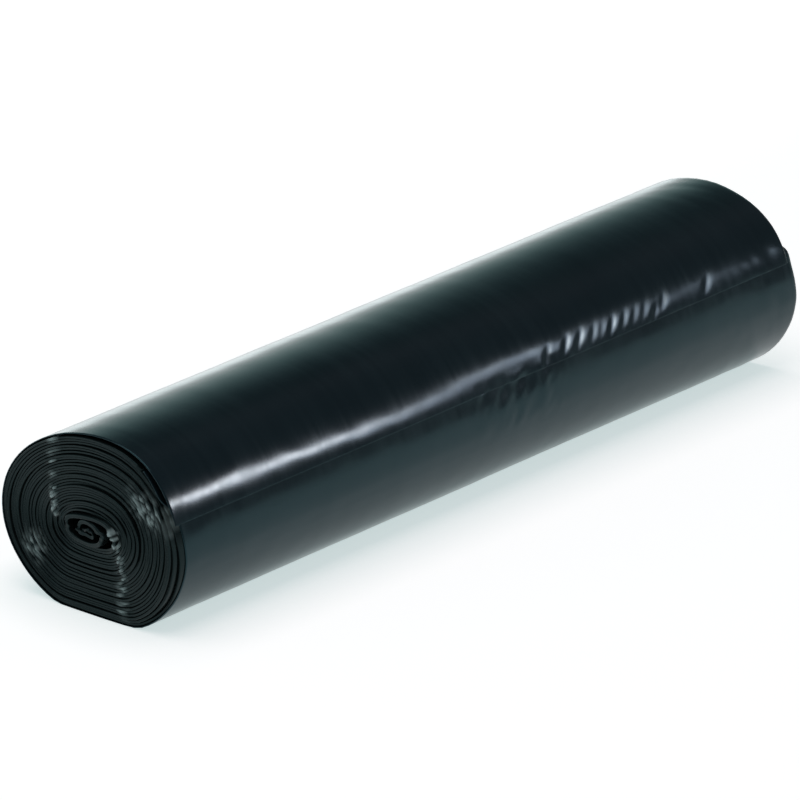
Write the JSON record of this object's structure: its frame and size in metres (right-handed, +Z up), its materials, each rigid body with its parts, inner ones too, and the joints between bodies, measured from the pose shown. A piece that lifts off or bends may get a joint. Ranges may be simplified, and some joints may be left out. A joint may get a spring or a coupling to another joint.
{
  "type": "bin bag roll",
  "caption": "coreless roll of folded plastic film bags, lying on its flattened side, with a squashed eye and a torn free edge",
  "frame": {"origin": "middle of the roll's box, on the surface that the roll lies on", "axes": "+X along the roll, towards the end whose skewed turn stands out; the strip's free edge is on the -Y side; +Z up"},
  "size_m": [0.3566, 0.086, 0.07],
  "materials": {
    "film": "glossy"
  },
  "bodies": {
    "root": {"bag_roll": "film"}
  },
  "joints": []
}
